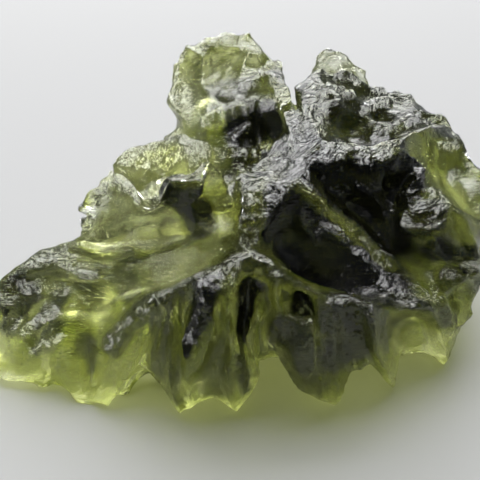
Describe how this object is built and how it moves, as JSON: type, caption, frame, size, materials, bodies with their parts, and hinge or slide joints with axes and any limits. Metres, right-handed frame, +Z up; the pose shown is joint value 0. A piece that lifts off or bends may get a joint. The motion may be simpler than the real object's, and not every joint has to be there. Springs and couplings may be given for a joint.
{
  "type": "moldavite",
  "caption": "Jagged piece of clear green natural glass with deep etched scoops, thin sharp ridges and a fringe of hanging ribs along its front.",
  "frame": {"origin": "middle of the stone's box, on the surface that it rests on", "axes": "+X to the right along the front fringe, +Y away from the fringe towards the back lobes, +Z up"},
  "size_m": [0.05, 0.045, 0.022],
  "materials": {
    "moldavite_glass": "naturally etched glass: glossy on the ridges, finely wrinkled in the scoops, bottle green with the depth of the glass"
  },
  "bodies": {
    "root": {"stone": "moldavite_glass"}
  },
  "joints": []
}
